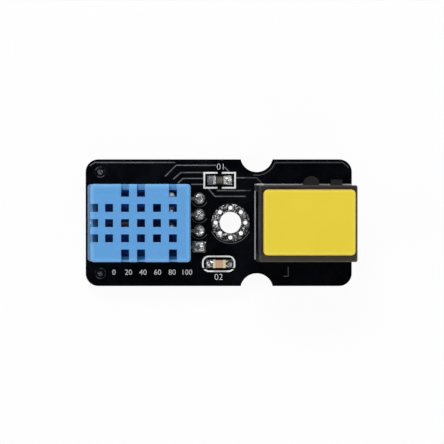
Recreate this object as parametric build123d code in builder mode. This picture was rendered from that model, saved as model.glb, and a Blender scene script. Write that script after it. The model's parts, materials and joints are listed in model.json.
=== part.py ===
from build123d import *
from math import cos, radians, sin, tan
import os

os.makedirs("parts", exist_ok=True)

# Frame: the origin is where the mounting hole's axis meets the board's underside.
# X runs along the board to the jack's mouth, Y across it, Z up out of the board.

# Board: its length follows from the sensor, the jack and their distance to the hole
hole_to_sensor = 6.23
hole_to_jack = 4.35
sensor_inset = 1.12
board_width = 20.0
board_thick = 1.6
board_corner = 2.0
notch_x = 4.15
notch_radius = 2.6
notch_outset = 0.6
foil = 0.05
barrel_wall = 0.05

# Sides of the round lands, bores and vias, which are too small to need a true circle
land_sides = 12
bore_sides = 9
small_sides = 8

# Mounting hole, its tinned ring and the vias that join the ring's two faces
hole_radius = 1.7
ring_radius = 3.0
via_circle = 2.35
via_count = 8
via_radius = 0.42
via_wall = 0.08

# Height below the board that every soldered end and peg reaches
foot_reach = 1.4

# Sensor
sensor_length = 15.5
sensor_width = 12.1
sensor_height = 5.5
sensor_corner = 0.5
sensor_edge = 0.25
base_height = 1.5
lip_length = 0.7
lip_tooth_radius = 0.28
lip_tooth_height = 0.45
lip_tooth_pitch = 1.42
cover_wall = 0.9
cover_roof = 0.8
grille_hole = 1.25
grille_columns = 6
grille_rows = 5
grille_margin_x = 0.65
grille_margin_y = 0.33
grille_shift = 0.1
notch_drop = 1.7
end_notch_reach = 0.15
cover_clearance = 0.1
tongue_wall = 0.5
tongue_height = 0.8
potting_depth = 0.5
potting_rim = 1.2

# Circuit board inside the sensor and what it carries
inner_board_thick = 0.8
inner_board_clearance = 0.1
element_edge_gap = 0.75
element_width = 4.6
element_thick = 0.6
element_to_controller = 0.65
comb_gap = 0.35
controller_length = 3.9
controller_width = 4.9
controller_height = 1.4
controller_to_thermistor = 0.55
thermistor_length = 1.3
thermistor_width = 0.9
thermistor_height = 0.8
thermistor_edge_gap = 0.45

# Sensor legs
pin_pitch = 2.54
pin_count = 4
pin_offset = 1.32
pin_width = 0.5
pin_thick = 0.3
pin_bend = 0.35
pin_inner = 2.6
pin_floor = 0.75
pin_slot_clearance = 0.05
pin_bore = 0.5
pin_land_radius = 0.95
square_land_x = 2.1
square_land_y = 1.8
joint_height = 1.1
joint_shoulder = 0.6
joint_shoulder_taper = 18
joint_crown_taper = 50
joint_margin = 0.03
joint_foot = 0.8
joint_tip_gap = 0.3
joint_cone_taper = 20
square_joint_taper = 28
square_joint_edge = 0.3

# Jack
jack_length = 14.8
jack_width = 11.6
jack_height = 12.8
jack_edge = 0.3
jack_bevel = 0.2
jack_wall = 0.85
jack_ceiling = 1.4
plug_width = 9.9
plug_height = 7.0
latch_width = 6.4
latch_depth = 1.7
keel_width = 3.3
keel_depth = 1.4
shoulder_length = 1.8
mouth_lead = 0.35
insert_length = 3.9
insert_width = 9.4
insert_clearance = 0.05
peg_radius = 1.45
peg_clearance = 0.1
peg_to_front = 6.35
peg_spread = 8.4
peg_point = 0.4
rear_foot = 1.3
rear_foot_proud = 0.35
rear_foot_height = 3.0
boss_x = 12.6
boss_radius = 1.2
boss_outset = 0.3
boss_height = 4.6
rib_x = 16.6
rib_width = 1.8
rib_proud = 0.95
rib_height = 2.6

# Spring contacts of the jack
contact_count = 6
contact_pitch = 1.02
contact_width = 0.46
contact_thick = 0.34
contact_bend = 0.45
contact_slot_clearance = 0.05
contact_row_gap = 2.54
contact_to_front = 2.3
contact_hairpin = 0.3
contact_tip_back = 5.6
contact_tip_drop = 2.7
tail_bore = 0.36
tail_land_radius = 0.62
land_relief = 0.05
tail_joint_height = 0.85
tail_joint_taper = 15

# Label plate on the jack
label_length = 14.0
label_width = 10.05
label_thick = 0.35
label_corner = 0.8
label_edge = 0.15
label_shift_x = 0.14
label_shift_y = 0.17

# Two chips, each with its lands and its printed frame
chip_length = 2.0
chip_width = 1.25
resistor_x = -1.70
resistor_edge = 3.31
resistor_height = 0.5
resistor_film_length = 1.2
resistor_film_thick = 0.04
resistor_land_span = 3.93
resistor_land_length = 1.3
resistor_land_width = 1.45
capacitor_x = -1.76
capacitor_edge = 3.51
capacitor_height = 0.9
capacitor_land_span = 4.2
capacitor_land_length = 1.45
capacitor_land_width = 1.34
cap_length = 0.4
cap_skin = 0.03
wetting_height = 0.38
wetting_sag = 0.08

# Printed legend and the raised lines of the lacquered copper
print_thick = 0.03
frame_line = 0.27
jack_line = 0.2
oval_line = 0.25
arc_line = 0.12
resistor_frame_length = 5.13
resistor_frame_width = 2.63
resistor_frame_gap = 0.7
capacitor_frame_length = 5.25
capacitor_frame_width = 2.59
capacitor_frame_corner = 1.1
capacitor_frame_gap = 0.45
capacitor_frame_shift = -0.1
jack_line_gap = 0.23
ring_arc_radius = 3.27
ring_arc_sweep = 130
pin_arc_radius = 1.3
pin_arc_sweep = 130
pin_arc_chords = 8
corner_mark_x = 8.37
corner_mark_edge = 1.55
corner_mark_size = 1.5
track_thick = 0.03
track_line = 0.18
pour_inset = 0.5
mark_radius = 0.45
mark_x = 2.3
mark_edge = 2.0
pour_bevel_x = 0.76
pour_bevel_y = 0.5
pour_to_sensor = 2.53
pour_corner_x = 1.4
pour_corner_y = 0.8

# Places worked out from the sizes above
sensor_right = -hole_to_sensor
sensor_left = sensor_right - sensor_length
sensor_mid = (sensor_left + sensor_right) / 2
board_left = sensor_left - sensor_inset
board_right = hole_to_jack + jack_length
board_length = board_right - board_left
board_mid = (board_left + board_right) / 2
half_width = board_width / 2
land_top = board_thick + foil
resistor_y = half_width - resistor_edge
capacitor_y = capacitor_edge - half_width
cover_floor = board_thick + base_height
cover_height = sensor_height - base_height
cover_top = cover_floor + cover_height
grille_pitch_x = (sensor_length - grille_margin_x) / grille_columns
grille_pitch_y = (sensor_width - grille_margin_y) / grille_rows
grille_x = [
    sensor_mid + grille_shift + (col - grille_columns / 2) * grille_pitch_x
    for col in range(grille_columns)
]
grille_y = [(row - (grille_rows - 1) / 2) * grille_pitch_y for row in range(grille_rows)]
pin_x = sensor_right + pin_offset
pin_ys = [((pin_count - 1) / 2 - i) * pin_pitch for i in range(pin_count)]
round_pins = [(pin_x, y) for y in pin_ys[:-1]]
square_pin = (pin_x, pin_ys[-1])
leg_z = board_thick + pin_floor + pin_thick / 2
inner_board_inset = cover_wall + cover_clearance + tongue_wall + inner_board_clearance
inner_board_width = sensor_width - 2 * inner_board_inset
inner_top = cover_floor + inner_board_thick
inner_left = sensor_left + inner_board_inset - tongue_wall
inner_right = sensor_right - inner_board_inset
thermistor_x = inner_right - thermistor_edge_gap - thermistor_length / 2
controller_right = thermistor_x - thermistor_length / 2 - controller_to_thermistor
controller_x = controller_right - controller_length / 2
element_right = controller_right - controller_length - element_to_controller
element_left = inner_left + element_edge_gap
element_length = element_right - element_left
element_x = (element_left + element_right) / 2
jack_front = board_right
jack_rear = jack_front - jack_length
jack_mid = (jack_front + jack_rear) / 2
jack_top = board_thick + jack_height
ceiling_z = jack_top - jack_ceiling
cavity_floor = ceiling_z - plug_height
insert_rear = jack_rear + jack_wall
insert_front = insert_rear + insert_length
cavity_depth = jack_front - insert_front
contact_ys = [(i - (contact_count - 1) / 2) * contact_pitch for i in range(contact_count)]
contact_slot = contact_width + 2 * contact_slot_clearance
row_a = insert_rear + insert_clearance + contact_slot / 2 + contact_slot_clearance
tail_xs = [row_a + (i % 2) * contact_row_gap for i in range(contact_count)]
tails = list(zip(tail_xs, contact_ys))
run_z = ceiling_z + contact_slot / 2
pegs = [(jack_front - peg_to_front, side * peg_spread / 2) for side in (-1, 1)]
chip_base = land_top


def land_places(centre, span, length):
    """Centres of a chip's two lands."""
    return [(centre + side * (span - length) / 2) for side in (-1, 1)]


resistor_lands = land_places(resistor_x, resistor_land_span, resistor_land_length)
capacitor_lands = land_places(capacitor_x, capacitor_land_span, capacitor_land_length)

# Board: outline, edge notches and every hole
with BuildPart() as board:
    with BuildSketch():
        with Locations((board_mid, 0)):
            RectangleRounded(board_length, board_width, board_corner)
        notch_y = half_width + notch_outset
        with Locations((notch_x, notch_y), (notch_x, -notch_y)):
            Circle(notch_radius, mode=Mode.SUBTRACT)
        Circle(hole_radius, mode=Mode.SUBTRACT)
        with PolarLocations(via_circle, via_count):
            RegularPolygon(via_radius, small_sides, mode=Mode.SUBTRACT)
        with Locations(*round_pins, square_pin):
            RegularPolygon(pin_bore + barrel_wall, bore_sides, mode=Mode.SUBTRACT)
        with Locations(*tails):
            RegularPolygon(tail_bore + barrel_wall, small_sides, mode=Mode.SUBTRACT)
        with Locations(*pegs):
            Circle(peg_radius + peg_clearance, mode=Mode.SUBTRACT)
    extrude(amount=board_thick)
board.part.label = "board"
export_step(board.part, "parts/board.step")

# Tinned ring on both faces, joined through the board by the barrels of its vias
with BuildPart() as mounting_ring:
    for level in (board_thick, -foil):
        with BuildSketch(Plane.XY.offset(level)):
            Circle(ring_radius)
            Circle(hole_radius, mode=Mode.SUBTRACT)
        extrude(amount=foil)
    with BuildSketch():
        with PolarLocations(via_circle, via_count):
            RegularPolygon(via_radius, small_sides)
    extrude(amount=board_thick)
    with BuildSketch(Plane.XY.offset(-foil)):
        with PolarLocations(via_circle, via_count):
            RegularPolygon(via_radius - via_wall, small_sides)
    extrude(amount=board_thick + 2 * foil, mode=Mode.SUBTRACT)
mounting_ring.part.label = "mounting_ring"
export_step(mounting_ring.part, "parts/mounting_ring.step")

# Lands of the four legs, each a spool through the board; the last one is square
with BuildPart() as sensor_lands:
    for level in (board_thick, -foil):
        with BuildSketch(Plane.XY.offset(level)):
            with Locations(*round_pins):
                RegularPolygon(pin_land_radius, land_sides)
            with Locations(square_pin):
                Rectangle(square_land_x, square_land_y)
            with Locations(*round_pins, square_pin):
                RegularPolygon(pin_bore, bore_sides, mode=Mode.SUBTRACT)
        extrude(amount=foil)
    with BuildSketch():
        with Locations(*round_pins, square_pin):
            RegularPolygon(pin_bore + barrel_wall, bore_sides)
            RegularPolygon(pin_bore, bore_sides, mode=Mode.SUBTRACT)
    extrude(amount=board_thick)
sensor_lands.part.label = "sensor_lands"
export_step(sensor_lands.part, "parts/sensor_lands.step")

# Lands of the jack's six tails
with BuildPart() as jack_lands:
    for level in (board_thick, -foil):
        with BuildSketch(Plane.XY.offset(level)):
            with Locations(*tails):
                RegularPolygon(tail_land_radius, bore_sides)
                RegularPolygon(tail_bore, small_sides, mode=Mode.SUBTRACT)
        extrude(amount=foil)
    with BuildSketch():
        with Locations(*tails):
            RegularPolygon(tail_bore + barrel_wall, small_sides)
            RegularPolygon(tail_bore, small_sides, mode=Mode.SUBTRACT)
    extrude(amount=board_thick)
jack_lands.part.label = "jack_lands"
export_step(jack_lands.part, "parts/jack_lands.step")

# Flat lands under the two chips
with BuildPart() as chip_lands:
    with BuildSketch(Plane.XY.offset(board_thick)):
        with Locations(*[(x, resistor_y) for x in resistor_lands]):
            Rectangle(resistor_land_length, resistor_land_width)
        with Locations(*[(x, capacitor_y) for x in capacitor_lands]):
            Rectangle(capacitor_land_length, capacitor_land_width)
    extrude(amount=foil)
chip_lands.part.label = "chip_lands"
export_step(chip_lands.part, "parts/chip_lands.step")

# Round marks at the board's left end, used to line the board up when it is made
with BuildPart() as alignment_marks:
    with BuildSketch(Plane.XY.offset(board_thick)):
        with Locations(*[(board_left + mark_x, side * (half_width - mark_edge)) for side in (-1, 1)]):
            RegularPolygon(mark_radius, bore_sides)
    extrude(amount=foil)
alignment_marks.part.label = "alignment_marks"
export_step(alignment_marks.part, "parts/alignment_marks.step")

# Sensor tray: plate with a lip at its outer end, a tongue on three sides that the cover
# fits over, channels for the legs and a recess underneath for the resin
with BuildPart() as sensor_base:
    with BuildSketch(Plane.XY.offset(board_thick)):
        with Locations((sensor_mid - lip_length / 2, 0)):
            RectangleRounded(sensor_length + lip_length, sensor_width, sensor_corner)
    extrude(amount=base_height)
    with BuildSketch(Plane.XY.offset(cover_floor)):
        with Locations(*[(sensor_left, i * lip_tooth_pitch) for i in (-1, 0, 1)]):
            Circle(lip_tooth_radius)
        with Locations((sensor_mid, 0)):
            Rectangle(sensor_length, sensor_width, mode=Mode.SUBTRACT)
    extrude(amount=lip_tooth_height)
    tongue_length = sensor_length - 2 * (cover_wall + cover_clearance)
    tongue_width = sensor_width - 2 * (cover_wall + cover_clearance)
    with BuildSketch(Plane.XY.offset(cover_floor)):
        with Locations((sensor_mid, 0)):
            Rectangle(tongue_length, tongue_width)
        with Locations((sensor_mid - tongue_wall / 2, 0)):
            Rectangle(
                tongue_length - tongue_wall,
                tongue_width - 2 * tongue_wall,
                mode=Mode.SUBTRACT,
            )
    extrude(amount=tongue_height)
    with BuildSketch(Plane.XY.offset(board_thick)):
        with Locations((sensor_mid, 0)):
            Rectangle(
                sensor_length - 2 * potting_rim,
                sensor_width - 2 * potting_rim,
            )
    extrude(amount=potting_depth, mode=Mode.SUBTRACT)
    slot_inner = sensor_right - pin_inner - pin_thick / 2 - pin_slot_clearance
    with BuildSketch(Plane.XY.offset(board_thick + pin_floor)):
        with Locations(*[((slot_inner + sensor_right) / 2, y) for y in pin_ys]):
            Rectangle(sensor_right - slot_inner, pin_width + 2 * pin_slot_clearance)
    extrude(amount=base_height - pin_floor, mode=Mode.SUBTRACT)
sensor_base.part.label = "sensor_base"
export_step(sensor_base.part, "parts/sensor_base.step")

# Resin that fills the recess under the tray
with BuildPart() as sensor_potting:
    with BuildSketch(Plane.XY.offset(board_thick)):
        with Locations((sensor_mid, 0)):
            Rectangle(sensor_length - 2 * potting_rim, sensor_width - 2 * potting_rim)
    extrude(amount=potting_depth)
sensor_potting.part.label = "sensor_potting"
export_step(sensor_potting.part, "parts/sensor_potting.step")

# Grille cover: a shell whose roof has rows of square holes; the outer holes run out
# over the walls and cut them down to a ledge
with BuildPart() as sensor_cover:
    with BuildSketch(Plane.XY.offset(cover_floor)):
        with Locations((sensor_mid, 0)):
            RectangleRounded(sensor_length, sensor_width, sensor_corner)
    extrude(amount=cover_height)
    chamfer(sensor_cover.faces().sort_by(Axis.Z)[-1].edges(), sensor_edge)
    with BuildSketch(Plane.XY.offset(cover_floor)):
        with Locations((sensor_mid, 0)):
            Rectangle(sensor_length - 2 * cover_wall, sensor_width - 2 * cover_wall)
    extrude(amount=cover_height - cover_roof, mode=Mode.SUBTRACT)
    with BuildSketch(Plane.XY.offset(cover_top)):
        for x in grille_x[1:]:
            for y in grille_y[1:-1]:
                with Locations((x, y)):
                    Rectangle(grille_hole, grille_hole)
    extrude(amount=-cover_roof, mode=Mode.SUBTRACT)
    # Edge notches: one at each row's outer end, and three along each long side
    with BuildSketch(Plane.XY.offset(cover_top)):
        end_inner = grille_x[0] + grille_hole / 2 + end_notch_reach
        for y in grille_y[1:-1]:
            with Locations(((sensor_left + end_inner) / 2, y)):
                Rectangle(end_inner - sensor_left, grille_hole)
        side_inner = grille_y[-1] - grille_hole / 2
        side_outer = sensor_width / 2
        for x in (grille_x[2], grille_x[3], grille_x[5]):
            for side in (-1, 1):
                with Locations((x, side * (side_inner + side_outer) / 2)):
                    Rectangle(grille_hole, side_outer - side_inner)
    extrude(amount=-notch_drop, mode=Mode.SUBTRACT)
sensor_cover.part.label = "sensor_cover"
export_step(sensor_cover.part, "parts/sensor_cover.step")

# Circuit board inside the sensor
with BuildPart() as sensor_board:
    with BuildSketch(Plane.XY.offset(cover_floor)):
        with Locations(((inner_left + inner_right) / 2, 0)):
            Rectangle(inner_right - inner_left, inner_board_width)
    extrude(amount=inner_board_thick)
sensor_board.part.label = "sensor_board"
export_step(sensor_board.part, "parts/sensor_board.step")

# Humidity element: a ceramic plate with two interleaved combs standing on it
with BuildPart() as humidity_element:
    with BuildSketch(Plane.XY.offset(inner_top)):
        with Locations((element_x, 0)):
            Rectangle(element_length, element_width)
    extrude(amount=element_thick)
    with BuildSketch(Plane.XY.offset(inner_top + element_thick)):
        finger = element_length - 3 * comb_gap
        fingers = int(element_width / (2 * comb_gap))
        with Locations((element_x, 0)):
            with GridLocations(0, 2 * comb_gap, 1, fingers):
                Rectangle(finger, comb_gap)
    extrude(amount=foil)
humidity_element.part.label = "humidity_element"
export_step(humidity_element.part, "parts/humidity_element.step")

# Temperature element beside it
with BuildPart() as thermistor:
    with BuildSketch(Plane.XY.offset(inner_top)):
        with Locations((thermistor_x, 0)):
            Rectangle(thermistor_length, thermistor_width)
    extrude(amount=thermistor_height)
    fillet(thermistor.faces().sort_by(Axis.Z)[-1].edges(), thermistor_height / 4)
thermistor.part.label = "thermistor"
export_step(thermistor.part, "parts/thermistor.step")

# Packaged chip that reads both elements
with BuildPart() as sensor_controller:
    with BuildSketch(Plane.XY.offset(inner_top)):
        with Locations((controller_x, 0)):
            Rectangle(controller_length, controller_width)
    extrude(amount=controller_height)
    chamfer(sensor_controller.faces().sort_by(Axis.Z)[-1].edges(), controller_height / 8)
sensor_controller.part.label = "sensor_controller"
export_step(sensor_controller.part, "parts/sensor_controller.step")

# Four legs: up to the inner board, out through the tray and down through the board
with BuildPart() as sensor_pins:
    for y in pin_ys:
        inner_x = sensor_right - pin_inner
        with BuildLine(Plane.XZ.offset(-y)) as leg_path:
            FilletPolyline(
                (inner_x, cover_floor),
                (inner_x, leg_z),
                (pin_x, leg_z),
                (pin_x, -foot_reach),
                radius=pin_bend,
            )
        with BuildSketch(Plane((inner_x, y, cover_floor), x_dir=(1, 0, 0), z_dir=(0, 0, -1))):
            Rectangle(pin_thick, pin_width)
        sweep(path=leg_path.wires()[0])
sensor_pins.part.label = "sensor_pins"
export_step(sensor_pins.part, "parts/sensor_pins.step")

# Solder of the legs: a round dome on each round land, a pillow on the square one,
# a filled barrel and a cone underneath
with BuildPart() as sensor_solder:
    dome_radius = pin_land_radius - joint_margin
    cone_height = foot_reach - joint_tip_gap - foil
    with BuildSketch(Plane.XY.offset(-foil)):
        with Locations(*round_pins, square_pin):
            RegularPolygon(pin_bore, bore_sides)
    extrude(amount=land_top + foil)
    with BuildSketch(Plane.XY.offset(-foil)):
        with Locations(*round_pins, square_pin):
            RegularPolygon(dome_radius * joint_foot, bore_sides)
    extrude(amount=-cone_height, taper=joint_cone_taper)
    with BuildSketch(Plane.XY.offset(land_top)):
        with Locations(*round_pins):
            RegularPolygon(dome_radius, land_sides)
    extrude(amount=joint_shoulder, taper=joint_shoulder_taper)
    crown_radius = dome_radius - joint_shoulder * tan(radians(joint_shoulder_taper))
    with BuildSketch(Plane.XY.offset(land_top + joint_shoulder)):
        with Locations(*round_pins):
            RegularPolygon(crown_radius, land_sides)
    extrude(amount=joint_height - joint_shoulder, taper=joint_crown_taper)
    with BuildSketch(Plane.XY.offset(land_top)):
        with Locations(square_pin):
            Rectangle(square_land_x - 2 * joint_margin, square_land_y - 2 * joint_margin)
    extrude(amount=joint_height, taper=square_joint_taper)
    joint_tops = sensor_solder.faces().group_by(Axis.Z)[-1]
    fillet(joint_tops.sort_by(SortBy.AREA)[-1].edges(), square_joint_edge)
    add(sensor_pins.part, mode=Mode.SUBTRACT)
sensor_solder.part.label = "sensor_solder"
export_step(sensor_solder.part, "parts/sensor_solder.step")

# Jack housing
with BuildPart() as jack_housing:
    with BuildSketch(Plane.XY.offset(board_thick)):
        with Locations((jack_mid, 0)):
            Rectangle(jack_length, jack_width)
    extrude(amount=jack_height)
    fillet(jack_housing.edges().filter_by(Axis.Z), jack_edge)
    chamfer(jack_housing.faces().sort_by(Axis.Z)[-1].edges(), jack_bevel)
    # Plug cavity with the latch's two steps below it, open at the front
    latch_floor = cavity_floor - latch_depth
    keel_floor = latch_floor - keel_depth
    with BuildSketch(Plane.YZ.offset(jack_front)):
        with Locations((0, cavity_floor + plug_height / 2)):
            Rectangle(plug_width, plug_height)
        with Locations((0, latch_floor + latch_depth / 2)):
            Rectangle(latch_width, latch_depth)
        with Locations((0, keel_floor + keel_depth / 2)):
            Rectangle(keel_width, keel_depth)
    extrude(amount=-cavity_depth, mode=Mode.SUBTRACT)
    # Behind the shoulders that hold the plug's latch, the channel is full width
    with BuildSketch(Plane.YZ.offset(jack_front - shoulder_length)):
        with Locations((0, keel_floor + keel_depth / 2)):
            Rectangle(latch_width, keel_depth)
    extrude(amount=shoulder_length - cavity_depth, mode=Mode.SUBTRACT)
    # Sloping lead round the mouth
    with BuildSketch(Plane.YZ.offset(jack_front)):
        with Locations((0, cavity_floor + plug_height / 2)):
            Rectangle(plug_width + 2 * mouth_lead, plug_height + 2 * mouth_lead)
    extrude(amount=-mouth_lead, taper=45, mode=Mode.SUBTRACT)
    # Pocket for the contact carrier, open underneath
    with BuildSketch(Plane.XY.offset(board_thick)):
        with Locations(((insert_rear + insert_front) / 2, 0)):
            Rectangle(insert_length, insert_width)
    extrude(amount=ceiling_z - board_thick, mode=Mode.SUBTRACT)
    # Shallow relief underneath, over the tails' lands
    relief_x = tail_land_radius + land_relief
    with BuildSketch(Plane.XY.offset(board_thick)):
        with Locations(*tails):
            Rectangle(2 * relief_x, 2 * relief_x)
    extrude(amount=foil + land_relief, mode=Mode.SUBTRACT)
    # Grooves in the ceiling, one over each spring contact
    groove_front = jack_front - contact_to_front + contact_bend
    with BuildSketch(Plane.XY.offset(ceiling_z)):
        with Locations(*[((insert_rear + groove_front) / 2, y) for y in contact_ys]):
            Rectangle(groove_front - insert_rear, contact_slot)
    extrude(amount=contact_slot, mode=Mode.SUBTRACT)
    # Two pegs that locate the jack in the board
    with BuildSketch(Plane.XY.offset(board_thick)):
        with Locations(*pegs):
            Circle(peg_radius)
    extrude(amount=-(board_thick + foot_reach))
    chamfer(jack_housing.faces().sort_by(Axis.Z)[:2].edges(), peg_point)
    # Feet at the rear corners, and a boss and a short rib on one flank
    with BuildSketch(Plane.XY.offset(board_thick)):
        foot_x = jack_rear - rear_foot_proud + rear_foot / 2
        foot_y = jack_width / 2 + rear_foot_proud - rear_foot / 2
        with Locations((foot_x, foot_y), (foot_x, -foot_y)):
            RectangleRounded(rear_foot, rear_foot, jack_edge)
        with Locations(((insert_rear + insert_front) / 2, 0)):
            Rectangle(insert_length, insert_width, mode=Mode.SUBTRACT)
    extrude(amount=rear_foot_height)
    with BuildSketch(Plane.XY.offset(board_thick)):
        with Locations((boss_x, jack_width / 2 + boss_outset)):
            Circle(boss_radius)
        with Locations((jack_mid, 0)):
            Rectangle(jack_length, jack_width - 2 * jack_wall, mode=Mode.SUBTRACT)
    extrude(amount=boss_height)
    with BuildSketch(Plane.XY.offset(board_thick)):
        with Locations((rib_x, (jack_width + rib_proud - jack_wall) / 2)):
            Rectangle(rib_width, rib_proud + jack_wall)
    extrude(amount=rib_height)
jack_housing.part.label = "jack_housing"
export_step(jack_housing.part, "parts/jack_housing.step")

# Contact carrier: a block with a slot for each spring contact, the rear row's
# slots shallow and the front row's deep
with BuildPart() as jack_insert:
    with BuildSketch(Plane.XY.offset(land_top + foil)):
        with Locations(((insert_rear + insert_front) / 2, 0)):
            Rectangle(
                insert_length - 2 * insert_clearance, insert_width - 2 * insert_clearance
            )
        for x, y in tails:
            slot_end = x + contact_slot / 2
            with Locations(((insert_rear + slot_end) / 2, y)):
                Rectangle(slot_end - insert_rear, contact_slot, mode=Mode.SUBTRACT)
    extrude(amount=ceiling_z - land_top - foil)
jack_insert.part.label = "jack_insert"
export_step(jack_insert.part, "parts/jack_insert.step")

# Six stamped spring contacts: up through the carrier, forward under the roof, then back and
# down into the plug cavity
with BuildPart() as jack_contacts:
    for x, y in tails:
        with BuildLine(Plane.XZ.offset(-y)) as contact_path:
            FilletPolyline(
                (x, -foot_reach),
                (x, run_z),
                (jack_front - contact_to_front, run_z),
                (
                    jack_front - contact_to_front - contact_tip_back,
                    run_z - contact_tip_drop,
                ),
                radius=(contact_bend, contact_hairpin),
            )
        with BuildSketch(Plane((x, y, -foot_reach), x_dir=(1, 0, 0), z_dir=(0, 0, 1))):
            Rectangle(contact_thick, contact_width)
        sweep(path=contact_path.wires()[0])
jack_contacts.part.label = "jack_contacts"
export_step(jack_contacts.part, "parts/jack_contacts.step")

# Solder of the tails: a filled barrel and a cone underneath
with BuildPart() as jack_solder:
    with BuildSketch(Plane.XY.offset(-foil)):
        with Locations(*tails):
            RegularPolygon(tail_bore, small_sides)
    extrude(amount=land_top + foil)
    with BuildSketch(Plane.XY.offset(-foil)):
        with Locations(*tails):
            RegularPolygon(tail_land_radius - 2 * joint_margin, small_sides)
    extrude(amount=-tail_joint_height, taper=tail_joint_taper)
    add(jack_contacts.part, mode=Mode.SUBTRACT)
jack_solder.part.label = "jack_solder"
export_step(jack_solder.part, "parts/jack_solder.step")

# Yellow plate on top of the jack
with BuildPart() as jack_label:
    with BuildSketch(Plane.XY.offset(jack_top)):
        with Locations((jack_mid + label_shift_x, label_shift_y)):
            RectangleRounded(label_length, label_width, label_corner)
    extrude(amount=label_thick)
    chamfer(jack_label.faces().sort_by(Axis.Z)[-1].edges(), label_edge)
jack_label.part.label = "jack_label"
export_step(jack_label.part, "parts/jack_label.step")

# Resistor: ceramic block, dark film on its top, and a wrapped cap at each end
with BuildPart() as resistor_body:
    with Locations((resistor_x, resistor_y, chip_base + cap_skin)):
        Box(
            chip_length - 2 * cap_skin,
            chip_width,
            resistor_height,
            align=(Align.CENTER, Align.CENTER, Align.MIN),
        )
resistor_body.part.label = "resistor_body"
export_step(resistor_body.part, "parts/resistor_body.step")

with BuildPart() as resistor_film:
    with Locations((resistor_x, resistor_y, chip_base + cap_skin + resistor_height)):
        Box(
            resistor_film_length,
            chip_width,
            resistor_film_thick,
            align=(Align.CENTER, Align.CENTER, Align.MIN),
        )
resistor_film.part.label = "resistor_film"
export_step(resistor_film.part, "parts/resistor_film.step")

with BuildPart() as resistor_caps:
    for side in (-1, 1):
        cap_x = resistor_x + side * (chip_length - cap_length) / 2
        with Locations((cap_x, resistor_y, chip_base)):
            Box(
                cap_length,
                chip_width,
                resistor_height + 2 * cap_skin,
                align=(Align.CENTER, Align.CENTER, Align.MIN),
            )
    add(resistor_body.part, mode=Mode.SUBTRACT)
resistor_caps.part.label = "resistor_caps"
export_step(resistor_caps.part, "parts/resistor_caps.step")

# Capacitor: tan ceramic block with a dipped cap over each end
with BuildPart() as capacitor_body:
    with Locations((capacitor_x, capacitor_y, chip_base + cap_skin)):
        Box(
            chip_length - 2 * cap_skin,
            chip_width - 2 * cap_skin,
            capacitor_height,
            align=(Align.CENTER, Align.CENTER, Align.MIN),
        )
capacitor_body.part.label = "capacitor_body"
export_step(capacitor_body.part, "parts/capacitor_body.step")

with BuildPart() as capacitor_caps:
    for side in (-1, 1):
        cap_x = capacitor_x + side * (chip_length - cap_length) / 2
        with Locations((cap_x, capacitor_y, chip_base)):
            Box(
                cap_length,
                chip_width,
                capacitor_height + 2 * cap_skin,
                align=(Align.CENTER, Align.CENTER, Align.MIN),
            )
    add(capacitor_body.part, mode=Mode.SUBTRACT)
capacitor_caps.part.label = "capacitor_caps"
export_step(capacitor_caps.part, "parts/capacitor_caps.step")

# Solder of the chips: a hollow-cheeked wedge from each land's outer end up the cap
with BuildPart() as resistor_solder:
    for side in (-1, 1):
        foot = resistor_x + side * (resistor_land_span / 2 - joint_margin)
        heel = resistor_x + side * chip_length / 2
        with BuildSketch(Plane.XZ.offset(-resistor_y)):
            with BuildLine():
                Polyline((foot, chip_base), (heel, chip_base), (heel, chip_base + wetting_height))
                ThreePointArc(
                    (heel, chip_base + wetting_height),
                    ((foot + heel) / 2, chip_base + wetting_height / 2 - wetting_sag),
                    (foot, chip_base),
                )
            make_face()
        extrude(amount=chip_width / 2, both=True)
resistor_solder.part.label = "resistor_solder"
export_step(resistor_solder.part, "parts/resistor_solder.step")

with BuildPart() as capacitor_solder:
    for side in (-1, 1):
        foot = capacitor_x + side * (capacitor_land_span / 2 - joint_margin)
        heel = capacitor_x + side * chip_length / 2
        with BuildSketch(Plane.XZ.offset(-capacitor_y)):
            with BuildLine():
                Polyline((foot, chip_base), (heel, chip_base), (heel, chip_base + wetting_height))
                ThreePointArc(
                    (heel, chip_base + wetting_height),
                    ((foot + heel) / 2, chip_base + wetting_height / 2 - wetting_sag),
                    (foot, chip_base),
                )
            make_face()
        extrude(amount=chip_width / 2, both=True)
capacitor_solder.part.label = "capacitor_solder"
export_step(capacitor_solder.part, "parts/capacitor_solder.step")

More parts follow.
